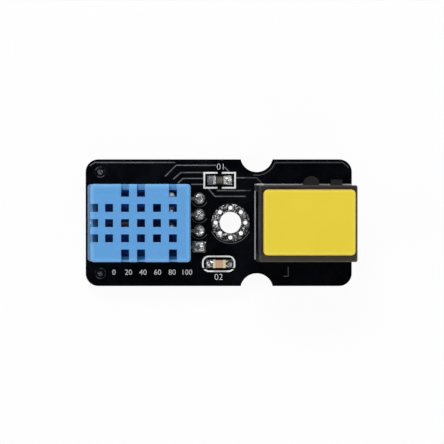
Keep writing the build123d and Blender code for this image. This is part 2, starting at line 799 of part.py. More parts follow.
# Printed legend: a frame round each chip, arcs under the lands and the ring, the
# jack's outline and one small corner mark
with BuildPart() as legend:
    with BuildSketch(Plane.XY.offset(board_thick)):
        with Locations((resistor_x, resistor_y)):
            Rectangle(resistor_frame_length, resistor_frame_width)
            Rectangle(
                resistor_frame_length - 2 * frame_line,
                resistor_frame_width - 2 * frame_line,
                mode=Mode.SUBTRACT,
            )
            Rectangle(resistor_frame_gap, resistor_frame_width, mode=Mode.SUBTRACT)
    extrude(amount=print_thick)
    with BuildSketch(Plane.XY.offset(board_thick)):
        capacitor_frame_x = capacitor_x + capacitor_frame_shift
        with Locations((capacitor_frame_x, capacitor_y)):
            RectangleRounded(
                capacitor_frame_length, capacitor_frame_width, capacitor_frame_corner
            )
            RectangleRounded(
                capacitor_frame_length - 2 * oval_line,
                capacitor_frame_width - 2 * oval_line,
                capacitor_frame_corner - oval_line,
                mode=Mode.SUBTRACT,
            )
        gap_x = capacitor_frame_length / 2
        gap_y = capacitor_y - capacitor_frame_width / 2 + capacitor_frame_corner / 2
        with Locations(*[(capacitor_frame_x + side * gap_x, gap_y) for side in (-1, 1)]):
            Rectangle(capacitor_frame_corner, capacitor_frame_gap / 2, mode=Mode.SUBTRACT)
    extrude(amount=print_thick)
    with BuildSketch(Plane.XY.offset(board_thick)):
        with BuildLine():
            CenterArc((0, 0), ring_arc_radius, 270 - ring_arc_sweep / 2, ring_arc_sweep)
        trace(line_width=arc_line)
        chord_turns = [
            radians((i / pin_arc_chords - 1 / 2) * pin_arc_sweep) for i in range(pin_arc_chords + 1)
        ]
        for x, y in round_pins:
            with BuildLine():
                Polyline(
                    *[
                        (x + pin_arc_radius * sin(turn), y - pin_arc_radius * cos(turn))
                        for turn in chord_turns
                    ]
                )
            trace(line_width=arc_line)
    extrude(amount=print_thick)
    with BuildSketch(Plane.XY.offset(board_thick)):
        line_y = jack_width / 2 + jack_line_gap
        line_x = jack_rear - jack_line_gap * 2
        with BuildLine():
            Polyline((line_x, -jack_width / 2), (line_x, line_y), (board_right, line_y))
        trace(line_width=jack_line)
        corner_mark_y = corner_mark_edge - half_width
        with BuildLine():
            Polyline(
                (corner_mark_x, corner_mark_y),
                (corner_mark_x + corner_mark_size / 2, corner_mark_y),
                (corner_mark_x + corner_mark_size / 2, corner_mark_y + corner_mark_size),
            )
        trace(line_width=arc_line)
    extrude(amount=print_thick)
    add(jack_housing.part, mode=Mode.SUBTRACT)
legend.part.label = "legend"
export_step(legend.part, "parts/legend.step")

# Raised lines of the copper under the lacquer: the pour's edge and the tracks that
# run to the chips, the legs and the jack
pour_y = half_width - pour_inset
pour_left = board_left + pour_inset + track_line
frame_left = resistor_x - resistor_frame_length / 2
frame_right = resistor_x + resistor_frame_length / 2
pour_edge = [
    (pour_left, pour_y - pour_bevel_y),
    (pour_left + pour_bevel_x, pour_y),
    (sensor_right - pour_to_sensor, pour_y),
]
# Corners of each track, from the frame's left end and the resistor's centre line
left_tracks = [
    [(-6.05, 0.63), (-4.30, 2.37), (1.97, 2.37)],
    [(3.32, 2.12), (4.05, 1.32)],
    [(-4.76, 0.18), (-3.54, 1.23), (0, 1.23)],
    [(-4.00, -0.42), (-3.24, 0.30), (0, 0.30)],
    [(-1.93, -0.64), (0, -0.64)],
    [(2.14, -1.62), (7.49, -1.62)],
    [(0.76, -1.32), (1.82, -2.53), (6.74, -2.53)],
]
# Corners of the track that leaves the frame's right end
right_track = [(0, 0.40), (3.27, 0.40), (4.04, -0.39)]
track_routes = [pour_edge]
track_routes += [[(frame_left + x, resistor_y + y) for x, y in route] for route in left_tracks]
track_routes += [[(frame_right + x, resistor_y + y) for x, y in right_track]]
with BuildPart() as tracks:
    with BuildSketch(Plane.XY.offset(board_thick)):
        for route in track_routes:
            with BuildLine():
                Polyline(*route)
            trace(line_width=track_line)
        with BuildLine():
            notch_arc = CenterArc((notch_x, notch_y), notch_radius + pour_inset, 260, 79)
        trace(line_width=track_line)
        with BuildLine():
            Polyline(
                notch_arc @ 1,
                (board_right - pour_corner_x, pour_y),
                (board_right - pour_inset, pour_y - pour_corner_y),
            )
        trace(line_width=track_line)
    extrude(amount=track_thick)
    add(legend.part, mode=Mode.SUBTRACT)
    add(jack_housing.part, mode=Mode.SUBTRACT)
    add(sensor_base.part, mode=Mode.SUBTRACT)
tracks.part.label = "tracks"
export_step(tracks.part, "parts/tracks.step")
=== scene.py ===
import bmesh
import bpy
import json
import math
import numpy as np
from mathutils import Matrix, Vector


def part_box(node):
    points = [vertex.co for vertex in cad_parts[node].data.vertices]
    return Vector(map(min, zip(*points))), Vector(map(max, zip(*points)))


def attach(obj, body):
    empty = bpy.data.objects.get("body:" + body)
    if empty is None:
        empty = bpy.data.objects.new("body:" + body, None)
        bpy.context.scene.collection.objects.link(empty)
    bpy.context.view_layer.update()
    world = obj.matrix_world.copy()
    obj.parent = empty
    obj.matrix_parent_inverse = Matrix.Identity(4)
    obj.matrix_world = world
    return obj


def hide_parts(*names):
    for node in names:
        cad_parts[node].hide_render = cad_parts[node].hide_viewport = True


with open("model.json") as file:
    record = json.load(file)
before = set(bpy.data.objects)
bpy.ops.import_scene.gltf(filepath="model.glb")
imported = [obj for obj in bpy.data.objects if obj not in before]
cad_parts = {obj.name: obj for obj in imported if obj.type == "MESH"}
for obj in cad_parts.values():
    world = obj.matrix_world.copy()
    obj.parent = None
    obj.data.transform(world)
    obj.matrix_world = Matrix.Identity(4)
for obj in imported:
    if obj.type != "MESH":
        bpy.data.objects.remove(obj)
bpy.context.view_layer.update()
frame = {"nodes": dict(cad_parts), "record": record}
nodes = frame["nodes"]
print("frame loaded,", len(nodes), "CAD nodes")

mm = 0.001  # everything below is in millimetres and is scaled when it becomes a mesh
fullTurn = 2 * math.pi


# low and high corner of a CAD node's box, in millimetres
def nodeBox(name):
    low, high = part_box(name)
    return np.array(low) / mm, np.array(high) / mm


boardTop = float(nodeBox("board")[1][2])
legPitch = 2.54
vias = {"ring": 2.35, "count": 8}  # the small holes round the mounting hole
jackBlock = {"left": 4.35, "right": 19.15, "half": 5.8}  # the jack without its boss and rib


# Shader maths


class Wire:
    # a socket that can be added, multiplied and so on; each operator adds one Math node
    def __init__(self, finish, socket):
        self.finish = finish
        self.socket = socket

    def __add__(self, other):
        return self.finish.math("ADD", self, other)

    def __sub__(self, other):
        return self.finish.math("SUBTRACT", self, other)

    def __rsub__(self, other):
        return self.finish.math("SUBTRACT", other, self)

    def __mul__(self, other):
        return self.finish.math("MULTIPLY", self, other)

    def __truediv__(self, other):
        return self.finish.math("DIVIDE", self, other)

    def __gt__(self, other):
        return self.finish.math("GREATER_THAN", self, other)

    def __lt__(self, other):
        return self.finish.math("LESS_THAN", self, other)

    def __abs__(self):
        return self.finish.math("ABSOLUTE", self)

    __radd__ = __add__
    __rmul__ = __mul__


class Finish:
    # one material; fixed holds the sockets whose value is the same all over the surface
    def __init__(self, name, fixed):
        self.material = bpy.data.materials.new(name)
        self.material.use_nodes = True
        self.tree = self.material.node_tree
        self.tree.nodes.clear()
        self.shader = self.tree.nodes.new("ShaderNodeBsdfPrincipled")
        self.output = self.tree.nodes.new("ShaderNodeOutputMaterial")
        self.tree.links.new(self.shader.outputs[0], self.output.inputs["Surface"])
        for socket, value in fixed.items():
            self.set(socket, value)
        coords = self.node("ShaderNodeTexCoord", {}, {}, "Object")
        scaled = {"Vector": coords, "Scale": 1 / mm}
        self.at = self.node("ShaderNodeVectorMath", {"operation": "SCALE"}, scaled)
        self.x, self.y, self.z = self.node("ShaderNodeSeparateXYZ", {}, {0: self.at}, (0, 1, 2))

    # any node: its settings come first, then the values or links of its sockets
    def node(self, kind, settings, sockets, out=0):
        made = self.tree.nodes.new(kind)
        for name, value in settings.items():
            setattr(made, name, value)
        for name, value in sockets.items():
            self.plug(made.inputs[name], value)
        if isinstance(out, tuple):
            return [Wire(self, made.outputs[name]) for name in out]
        return Wire(self, made.outputs[out])

    def plug(self, socket, value):
        if isinstance(value, Wire):
            self.tree.links.new(value.socket, socket)
        elif socket.type == "RGBA":
            socket.default_value = (*value, 1)
        else:
            socket.default_value = value

    def math(self, operation, first, second=0.0):
        return self.node("ShaderNodeMath", {"operation": operation}, {0: first, 1: second})

    def set(self, socket, value):
        self.plug(self.shader.inputs[socket], value)

    # scale in patches per millimetre, detail in octaves; the result lies about 0.5
    def cloud(self, scale, detail=3.0, rough=0.55, at=None):
        sockets = {"Vector": at or self.at, "Scale": scale, "Detail": detail, "Roughness": rough}
        return self.node("ShaderNodeTexNoise", {}, sockets)

    # stretches a value that runs from low to high onto toLow to toHigh, and stops at both ends
    def span(self, value, low, high, toLow=0.0, toHigh=1.0):
        sockets = {0: value, 1: low, 2: high, 3: toLow, 4: toHigh}
        return self.node("ShaderNodeMapRange", {"clamp": True}, sockets)

    def within(self, value, low, high):
        return (value > low) * (value < high)

    # from first to second as mask goes from 0 to 1; 6, 7 and 2 are the node's colour sockets
    def blend(self, mask, first, second, kind="MIX"):
        settings = {"data_type": "RGBA", "blend_type": kind}
        return self.node("ShaderNodeMix", settings, {0: mask, 6: first, 7: second}, 2)

    def stretched(self, scale):
        return self.node("ShaderNodeMapping", {}, {"Vector": self.at, "Scale": scale})

    def bump(self, height, depth):
        return self.node("ShaderNodeBump", {}, {"Height": height, "Distance": depth * mm})

    def sine(self, value):
        return self.math("SINE", value)

    # distance from the upright line through x and y
    def away(self, x, y):
        fromX, fromY = self.x - x, self.y - y
        return self.math("SQRT", fromX * fromX + fromY * fromY)

    # distance inwards from the four sides of a node's box
    def inset(self, node):
        low, high = nodeBox(node)
        middle, half = ((low + high) / 2).tolist(), ((high - low) / 2).tolist()
        insetX = half[0] - abs(self.x - middle[0])
        insetY = half[1] - abs(self.y - middle[1])
        return self.math("MINIMUM", insetX, insetY)


# Finishes


# black lacquer with faint clouds over the copper, and a layered cut edge all round
def lacqueredBoard():
    look = {
        "lacquer": (0.0011, 0.0013, 0.0026),
        "cloudy": (0.0022, 0.0025, 0.0044),
        "core": (0.016, 0.0135, 0.010),
        "layer": (0.030, 0.026, 0.019),
        "layerPitch": 0.2,
        "skin": 0.03,  # lacquer above and below the cut edge
        "weave": 11.0,
    }
    m = Finish("lacqueredBoard", {"IOR": 1.5, "Specular IOR Level": 0.09})
    clouds = m.span(m.cloud(0.22, 4), 0.35, 0.65)
    weave = m.sine(m.x * look["weave"]) * m.sine(m.y * look["weave"])
    edge = m.within(m.z, look["skin"], boardTop - look["skin"])
    fibre = m.cloud(1.0, 3, at=m.stretched((0.6, 0.6, 5.0)))
    layers = m.span(m.sine(m.z * (fullTurn / look["layerPitch"])), -0.4, 0.8)
    cut = m.blend(layers * m.span(fibre, 0.3, 0.6), look["core"], look["layer"])
    m.set("Base Color", m.blend(edge, m.blend(clouds, look["lacquer"], look["cloudy"]), cut))
    m.set("Roughness", m.span(clouds + edge * 2.0, 0, 3, 0.16, 0.7))
    speck = m.cloud(3.2, 2)
    m.set("Normal", m.bump(weave * 0.4 + speck + fibre * edge * 6.0, 0.0025))
    return m.material


# rim of the lacquer round a mark: black, with grey patches where it has worn
def rimLacquer():
    look = {"lacquer": (0.0015, 0.0016, 0.0026), "wearAndSheen": (0.065, 0.065, 0.07), "patches": 1.6}
    m = Finish("rimLacquer", {"IOR": 1.5, "Specular IOR Level": 0.09, "Roughness": 0.4})
    wearAndSheen = m.span(m.cloud(look["patches"], 3), 0.48, 0.62)
    m.set("Base Color", m.blend(wearAndSheen, look["lacquer"], look["wearAndSheen"]))
    m.set("Normal", m.bump(m.cloud(5.0, 2), 0.01))
    return m.material


# copper line under the lacquer: grey, with darker patches painted as the lacquer's sheen breaking it
# up, darker towards the jack
def lacqueredCopper():
    look = {
        "line": (0.17, 0.17, 0.175),
        # painted sheen: darker patches where the lacquer's sheen breaks up the line
        "wearAndSheen": (0.10, 0.10, 0.105),
        "deep": (0.055, 0.055, 0.06),
        "deepFrom": 2.27,  # x past which the lines are darker
    }
    m = Finish("lacqueredCopper", {"Roughness": 0.38, "Metallic": 0.25})
    patchy = m.span(m.cloud(0.9, 3), 0.38, 0.66)
    line = m.blend(patchy, look["line"], look["wearAndSheen"])
    m.set("Base Color", m.blend(m.x > look["deepFrom"], line, look["deep"]))
    m.set("Normal", m.bump(m.cloud(5.0, 2), 0.01))
    return m.material


# hot tinned copper or solder: bright where it has run together, dull and pitted between
def tinned(name, look):
    m = Finish(name, {"IOR": 1.45})
    pools = m.span(m.cloud(0.8, 3, 0.6), 0.40, 0.60)
    pits = m.span(m.cloud(look["grain"], 3, 0.6), 0.48, 0.62)
    shiny = pits * (pools * 0.75 + 0.25)
    if "lean" in look:  # painted light: direction towards which the tin is painted brighter, as if lit from that side, over the width of the ring
        litTowardsX, litTowardsY = look["lean"]
        shiny = shiny * m.span(m.x * litTowardsX + m.y * litTowardsY, -2.6, 2.6, 0.5, 1.4)
    colour = m.blend(shiny, look["dull"], look["bright"])
    roughness = m.span(pits, 0, 1, *look["rough"])
    if "coldJoint" in look:  # low x, high x and low y of a joint that cooled dull
        lowX, highX, lowY = look["coldJoint"]
        cold = m.within(m.x, lowX, highX) * (m.y > lowY)
        colour = m.blend(cold, colour, look["cold"])
        roughness = roughness + cold * 0.3
    m.set("Base Color", colour)
    m.set("Metallic", m.span(pools, 0, 1, *look["metal"]))
    m.set("Roughness", roughness)
    perMm, depth = look["lumps"]
    m.set("Normal", m.bump(m.cloud(perMm, 4, 0.6) + pits * 0.3, depth))
    return m.material


# screen print: grainy white, thin in the arcs and the corner mark, painted greyer round the jack for
# the jack's shade
def whitePrint():
    look = {
        "white": (0.92, 0.92, 0.91),
        "thin": (0.10, 0.10, 0.105),
        # painted shade: the print round the jack is greyer for the shade of the tall jack
        "outline": (0.40, 0.41, 0.44),
        "grainShade": (0.55, 0.55, 0.55),
        "wearAndSheen": (0.012, 0.012, 0.013),  # where the outline has worn off by the jack's rear corner
        "wornX": 4.3,
        "wornY": (5.05, 5.95),
        "jackSide": 3.6,  # x past which lie the jack's outline and the corner mark
        "outlineLow": -6.2,
        "ringArcX": (-3.4, 3.4),
        "ringArcY": (-3.5, -0.7),
        "legArcY": (-3.6, 4.2),
    }
    m = Finish("whitePrint", {"IOR": 1.45})
    grain = m.span(m.cloud(9.0, 3, 0.7), 0.3, 0.55)
    beside = m.x > look["jackSide"]
    ringArc = m.within(m.y, *look["ringArcY"]) * m.within(m.x, *look["ringArcX"])
    legArc = (m.x < look["ringArcX"][0]) * m.within(m.y, *look["legArcY"])
    faint = m.math("MAXIMUM", m.math("MAXIMUM", beside, ringArc), legArc)
    # painted shade where the outline runs round the jack
    outline = beside * (m.y > look["outlineLow"])
    colour = m.blend(outline, m.blend(faint, look["white"], look["thin"]), look["outline"])
    wearAndSheen = beside * (m.x < look["wornX"]) * m.within(m.y, *look["wornY"])
    colour = m.blend(wearAndSheen, colour, look["wearAndSheen"])
    m.set("Base Color", m.blend(1 - grain, colour, look["grainShade"], "MULTIPLY"))
    m.set("Roughness", m.span(grain, 0, 1, 0.75, 0.5))
    m.set("Normal", m.bump(grain, 0.01))
    return m.material


# moulded plastic: pore grain, slow tone changes, and a scuffed top edge at topZ; look may also hold
# a painted rim highlight and ledge shade, painted shade inside, a painted sheen, a painted glint or a
# coat
def moulded(name, look):
    fixed = {"IOR": 1.5, "Coat Roughness": 0.2, "Specular IOR Level": look.get("sheen", 0.5)}
    if "tint" in look:
        fixed["Specular Tint"] = look["tint"]
        fixed["Coat Tint"] = look["tint"]
    m = Finish(name, fixed)
    topZ, rough = look["topZ"], look["rough"]
    slow = m.span(m.cloud(0.16, 3), 0.32, 0.68)
    flow = m.span(m.cloud(1.0, 3, at=m.stretched((0.12, 1.4, 1.0))), 0.35, 0.65)
    pores = m.cloud(14.0, 2, 0.6)
    scratched = m.span(m.cloud(2.4, 5, 0.75), 0.60, 0.66) * m.span(m.z, topZ - 0.5, topZ)
    body = m.blend(slow * 0.65 + flow * 0.35, look["colour"], look["shade"])
    if "paintedRimHighlight" in look:  # painted highlight along the outline of the top, and painted shade on the ledges in its notches
        inset = m.inset(look["rimOf"]) + (m.cloud(0.8, 3) - 0.5) * 0.4
        body = m.blend(m.span(inset, 0.75, 0.25) * 0.6, body, look["paintedRimHighlight"])
        ledge = (m.z < look["ledgeTop"]) * (inset > 0.3) * (m.y < look["ledgeShadeTo"])
        inward = m.span(inset, 0.45, 1.15)
        body = m.blend(ledge, body, m.blend(inward, look["ledge"], look["ledgeDeep"]))
    if "stainAndShade" in look:  # painted shade: colour, lowest z and lowest x of the part that lies inside the cover, painted dark
        stainAndShade, lowZ, lowX = look["stainAndShade"]
        raised = m.z > lowZ
        # painted glint on the raised teeth of the lip
        body = m.blend(raised, body, look["teethGlint"])
        # painted shade inside the cover, lifted to a painted lighter blue towards the edge
        inside = m.blend(m.span(m.y, *look["lighter"]), stainAndShade, look["edge"])
        body = m.blend(raised * (m.x > lowX), body, inside)
    if "frontSheen" in look:  # painted sheen: colour, and the y below which the top is painted paler
        pale, edgeY = look["frontSheen"]
        body = m.blend((m.y < edgeY) * (m.z > topZ - 0.6), body, pale)
    if "foot" in look:  # painted glint: colour, highest x, lowest y and lowest z of the rear foot's edge, painted bright
        pale, glintX, glintY, glintZ = look["foot"]
        body = m.blend((m.x < glintX) * (m.y > glintY) * (m.z > glintZ), body, pale)
    m.set("Base Color", m.blend(scratched * 0.35, body, look["scuff"]))
    m.set("Roughness", m.span(pores + slow, 0.6, 1.4, rough - 0.06, rough + 0.08))
    if "coat" in look:  # weight, z where it starts and z where it is full
        weight, start, full = look["coat"]
        m.set("Coat Weight", m.span(m.z, start, full) * m.span(slow, 0, 1, weight, weight * 0.5))
    m.set("Normal", m.bump(pores + m.cloud(0.7, 2) * 1.5, look["grain"]))
    return m.material


# resin poured into the tray: pale, with pinholes and a skin that sank unevenly
def castResin():
    look = {"resin": (0.66, 0.66, 0.62), "stainAndShade": (0.46, 0.45, 0.40)}
    m = Finish("castResin", {"Roughness": 0.35})
    sag = m.cloud(0.35, 3)
    holes = m.span(m.cloud(3.0, 2), 0.66, 0.7)
    stained = m.span(sag, 0.4, 0.7) * 0.6 + holes * 0.4
    m.set("Base Color", m.blend(stained, look["resin"], look["stainAndShade"]))
    m.set("Normal", m.bump(sag * 3.0 - holes, 0.08))
    return m.material


# board inside the sensor: dark lacquer over fine wandering tracks, both painted navy for the blue
# shade inside the cover, with gilt pads in two rows
def innerBoard():
    look = {
        # painted shade: lacquer and tracks are painted dark navy
        "lacquer": (0.0005, 0.033, 0.24),
        "track": (0.001, 0.055, 0.33),
        "pad": (0.62, 0.46, 0.20),
        "trackPitch": 0.6,
        "padRow": 3.7,
        "padHalf": 0.35,
        "padPitch": 1.27,
        "padShare": 0.22,
    }
    m = Finish("innerBoard", {"IOR": 1.5})
    wander = m.cloud(0.5, 1) * 2.2
    lines = m.sine((m.x + wander) * (fullTurn / look["trackPitch"])) > 0.35
    rows = abs(abs(m.y) - look["padRow"]) < look["padHalf"]
    padX = m.math("FRACT", m.x / look["padPitch"])
    pads = rows * (abs(padX - 0.5) < look["padShare"])
    base = m.blend(lines, look["lacquer"], look["track"])
    m.set("Base Color", m.blend(pads, base, look["pad"]))
    m.set("Metallic", pads)
    m.set("Roughness", m.span(m.cloud(2.0, 2), 0.3, 0.7, 0.28, 0.45))
    m.set("Normal", m.bump(lines * 0.5 + pads, 0.02))
    return m.material


# sensing plate: painted dark navy for the shade inside the cover, its amber showing only near its
# middle, with combs on it painted dim
def sensingFilm():
    look = {
        # painted shade: the plate is painted dark navy
        "coat": (0.001, 0.030, 0.20),
        "amber": (0.40, 0.19, 0.05),
        # painted shade: the combs are painted dim
        "comb": (0.01, 0.035, 0.14),
        "combThick": 0.03,
        "amberAt": (-16.4, -0.3),
        "amberRadius": 0.75,
    }
    m = Finish("sensingFilm", {"IOR": 1.5})
    combs = m.z > float(nodeBox("humidity_element")[1][2]) - look["combThick"]
    away = m.away(*look["amberAt"]) + (m.cloud(1.5, 3) - 0.5) * 0.8
    amber = m.span(away, look["amberRadius"], look["amberRadius"] * 0.4)
    coat = m.blend(amber, look["coat"], look["amber"])
    m.set("Base Color", m.blend(combs * (1 - amber * 0.6), coat, look["comb"]))
    m.set("Metallic", combs * 0.5)
    m.set("Roughness", m.span(m.cloud(6.0, 2), 0.3, 0.7, 0.3, 0.5))
    m.set("Normal", m.bump(m.cloud(7.0, 2), 0.01))
    return m.material


# fired ceramic: speckled, slightly glazed, in the given colour and a darker tone of it
def fired(name, colour, speck, rough):
    m = Finish(name, {"IOR": 1.6})
    specks = m.span(m.cloud(11.0, 3, 0.7), 0.5, 0.66)
    tone = m.span(m.cloud(1.3, 3), 0.3, 0.7)
    shaded = m.blend(tone, colour, tuple(c * 0.82 for c in colour))
    m.set("Base Color", m.blend(specks * 0.6, shaded, speck))
    m.set("Roughness", m.span(specks, 0, 1, rough, rough + 0.2))
    m.set("Normal", m.bump(m.cloud(9.0, 3), 0.02))
    return m.material


# moulded chip resin: dark and matt, painted navy for the blue shade inside the cover, with a polished
# round spot in one corner
def chipResin():
    look = {
        # painted shade: the resin is tinted navy
        "resin": (0.003, 0.030, 0.135),
        "ash": (0.006, 0.045, 0.19),
        "spotInset": 0.8,
        "spotRadius": 0.3,
    }
    m = Finish("chipResin", {"IOR": 1.5})
    low, high = nodeBox("sensor_controller")
    spotX, spotY = float(low[0] + look["spotInset"]), float(high[1] - look["spotInset"])
    spot = m.away(spotX, spotY) < look["spotRadius"]
    grain = m.cloud(12.0, 3, 0.7)
    m.set("Base Color", m.blend(m.span(grain, 0.45, 0.7), look["resin"], look["ash"]))
    m.set("Roughness", m.span(grain, 0.3, 0.7, 0.5, 0.7) - spot * 0.3)
    m.set("Normal", m.bump(grain - spot * 2.0, 0.02))
    return m.material


# drawn or stamped metal: fine lines along one direction, darker in their grooves
def drawnMetal(name, colour, groove, stretch, rough):
    m = Finish(name, {"Metallic": 1.0})
    lines = m.cloud(1.0, 4, 0.6, at=m.stretched(stretch))
    tarnish = m.span(m.cloud(0.8, 4), 0.45, 0.7)
    m.set("Base Color", m.blend(m.span(lines, 0.35, 0.7) * 0.5 + tarnish * 0.5, colour, groove))
    m.set("Roughness", m.span(lines, 0.3, 0.7, rough, rough + 0.15))
    m.set("Normal", m.bump(lines, 0.012))
    return m.material


# yellow plate: full colour inside, a pressed rim painted paler as its highlight, and a darker cut edge
def yellowPlate():
    look = {
        "field": (0.785, 0.615, 0.037),
        "fieldShade": (0.765, 0.592, 0.032),
        # painted highlight along the raised rim
        "rimHighlight": (0.80, 0.66, 0.075),
        "cut": (0.50, 0.33, 0.012),
        "rimWidth": 0.26,
        "cutWidth": 0.12,
    }
    m = Finish("yellowPlate", {"IOR": 1.48})
    inset = m.inset("jack_label") + (m.cloud(0.9, 3) - 0.5) * 0.08
    tone = m.span(m.cloud(0.13, 3), 0.35, 0.65)
    field = m.blend(tone, look["field"], look["fieldShade"])
    fieldFrom = look["cutWidth"] + look["rimWidth"]
    colour = m.blend(m.span(inset, fieldFrom, fieldFrom + 0.12), look["rimHighlight"], field)
    cut = m.span(inset, look["cutWidth"], look["cutWidth"] + 0.1)
    m.set("Base Color", m.blend(cut, look["cut"], colour))
    grain = m.cloud(10.0, 2, 0.6)
    m.set("Roughness", m.span(grain, 0.3, 0.7, 0.42, 0.52))
    m.set("Normal", m.bump(grain + m.cloud(0.5, 2) * 2.0, 0.012))
    return m.material


# solder painted milky white, standing in for the bright glints it shows through the grille
def whiteGlintSolder():
    look = {"glintWhite": (0.95, 0.95, 0.94), "crazed": (0.80, 0.79, 0.75)}
    m = Finish("whiteGlintSolder", {"IOR": 1.5})
    crazed = m.span(m.cloud(3.0, 3), 0.42, 0.6)
    m.set("Base Color", m.blend(crazed, look["glintWhite"], look["crazed"]))
    m.set("Roughness", m.span(crazed, 0, 1, 0.3, 0.5))
    m.set("Normal", m.bump(m.cloud(2.0, 3), 0.04))
    return m.material


# faint code printed on the resistor
def codePrint():
    look = {"faded": (0.22, 0.20, 0.17), "ink": (0.42, 0.39, 0.33)}
    m = Finish("codePrint", {"IOR": 1.45})
    m.set("Base Color", m.blend(m.span(m.cloud(8.0, 3), 0.4, 0.6), look["faded"], look["ink"]))
    m.set("Roughness", m.span(m.cloud(12.0, 2), 0.3, 0.7, 0.5, 0.7))
    return m.material


coverCorner = nodeBox("sensor_cover")[0].tolist()
blueLook = {
    "colour": (0.112, 0.349, 0.706),
    "shade": (0.095, 0.317, 0.675),
    "scuff": (0.34, 0.56, 0.85),
    "topZ": 7.1,
    "rough": 0.42,
    "grain": 0.012,
    # painted highlight along the cover's rounded top edge
    "paintedRimHighlight": (0.20, 0.47, 0.80),
    "rimOf": "sensor_cover",
    # painted shade on the notch ledges, deeper inwards
    "ledge": (0.024, 0.135, 0.30),
    "ledgeDeep": (0.002, 0.045, 0.15),
    "ledgeTop": 5.45,
    "ledgeShadeTo": 4.5,
}
trayLook = {
    # partly painted highlight: blue plastic, greyed for the highlights along its lip
    "colour": (0.15, 0.26, 0.42),
    "shade": (0.12, 0.22, 0.36),
    "scuff": (0.42, 0.52, 0.62),
    "topZ": 3.1,
    "rough": 0.4,
    "grain": 0.02,
    # painted glint: the lip's teeth are painted pale
    "teethGlint": (0.62, 0.70, 0.78),
    # painted light: lighter blue where the painted shade lifts near the edge
    "edge": (0.03, 0.42, 0.86),
    "lighter": (4.7, 4.95),  # y over which the painted shade turns into the edge's painted lighter blue
    # painted shade: the tray inside the cover is painted dark navy
    "stainAndShade": ((0.001, 0.062, 0.36), coverCorner[2] + 0.02, coverCorner[0] + 0.8),
}
jackLook = {
    "colour": (0.010, 0.0090, 0.0086),
    "shade": (0.018, 0.0155, 0.0142),
    "scuff": (0.10, 0.085, 0.07),
    "topZ": 14.4,
    "rough": 0.4,
    "grain": 0.02,
    "sheen": 0.3,
    "tint": (1.0, 0.94, 0.89),
    # painted sheen: the front strip of the top is painted paler
    "frontSheen": ((0.039, 0.033, 0.024), -4.7),
    # painted glint on the rear foot's top edge
    "foot": ((0.52, 0.52, 0.54), 5.35, 5.9, 4.4),
    "coat": (0.45, 8.0, 13.0),
}
carrierLook = {
    "colour": (0.011, 0.011, 0.011),
    "shade": (0.018, 0.018, 0.018),
    "scuff": (0.05, 0.05, 0.05),
    "topZ": 13.0,
    "rough": 0.5,
    "grain": 0.02,
}
tinLook = {
    "bright": (0.78, 0.77, 0.75),
    "dull": (0.10, 0.10, 0.105),
    "rough": (0.22, 0.42),
    "grain": 3.0,
    "lumps": (2.2, 0.06),  # patches per millimetre, depth
    "metal": (0.82, 1.0),
    # painted light: the ring is painted brighter towards its top left
    "lean": (-0.6, 0.8),
}
solderLook = {
    "bright": (0.95, 0.95, 0.94),
    "dull": (0.48, 0.48, 0.48),
    "rough": (0.12, 0.30),
    "grain": 2.2,
    "lumps": (2.0, 0.06),
    "metal": (0.5, 0.85),
    "cold": (0.16, 0.16, 0.17),
    "coldJoint": (-3.9, -2.4, 5.5),
}
capLook = {
    "bright": (0.93, 0.89, 0.66),
    "dull": (0.72, 0.66, 0.40),
    "rough": (0.35, 0.5),
    "grain": 6.0,
    "lumps": (4.0, 0.03),
    "metal": (0.2, 0.5),
}
chipMetalLook = {
    "bright": (0.88, 0.87, 0.84),
    "dull": (0.45, 0.45, 0.44),
    "rough": (0.25, 0.45),
    "grain": 6.0,
    "lumps": (3.0, 0.04),
    "metal": (0.3, 0.6),
}
reflowedLook = {
    "bright": (0.95, 0.95, 0.94),
    "dull": (0.15, 0.15, 0.155),
    "rough": (0.10, 0.24),
    "grain": 1.7,
    "lumps": (1.1, 0.035),
    "metal": (0.8, 1.0),
}
markLook = {
    "bright": (0.62, 0.62, 0.63),
    "dull": (0.015, 0.015, 0.018),
    "rough": (0.3, 0.5),
    "grain": 5.0,
    "lumps": (3.5, 0.10),
    "metal": (0.82, 1.0),
    # painted light: the mark towards +Y is painted brighter
    "lean": (0.0, 1.0),
}
legColours = ((0.36, 0.355, 0.34), (0.13, 0.125, 0.12))
giltColours = ((0.90, 0.64, 0.22), (0.58, 0.38, 0.12))
paleColours = ((0.62, 0.61, 0.56), (0.34, 0.33, 0.30))
glazeColours = ((0.020, 0.016, 0.012), (0.05, 0.042, 0.034))
tanColours = ((0.65, 0.395, 0.27), (0.46, 0.24, 0.15))
finishes = {
    "lacquered_board": lacqueredBoard(),
    "lacquered_copper": lacqueredCopper(),
    "tin": tinned("tin", tinLook),
    "solder": tinned("solder", solderLook),
    "white_print": whitePrint(),
    "blue_shell": moulded("blueShell", blueLook),
    "blue_tray": moulded("blueTray", trayLook),
    "resin": castResin(),
    "inner_board": innerBoard(),
    "sensing_film": sensingFilm(),
    "pale_ceramic": fired("paleCeramic", *paleColours, 0.35),
    "chip_resin": chipResin(),
    "leg_metal": drawnMetal("legMetal", *legColours, (1.0, 9.0, 0.6), 0.28),
    "jack_shell": moulded("jackShell", jackLook),
    "jack_carrier": moulded("jackCarrier", carrierLook),
    "gilt_wire": drawnMetal("giltWire", *giltColours, (0.6, 9.0, 0.6), 0.2),
    "yellow_plate": yellowPlate(),
    "resistor_glaze": fired("resistorGlaze", *glazeColours, 0.3),
    "tan_ceramic": fired("tanCeramic", *tanColours, 0.4),
}
capMetal = tinned("capMetal", capLook)
chipMetal = tinned("chipMetal", chipMetalLook)
reflowed = tinned("reflowed", reflowedLook)
markMetal = tinned("markMetal", markLook)

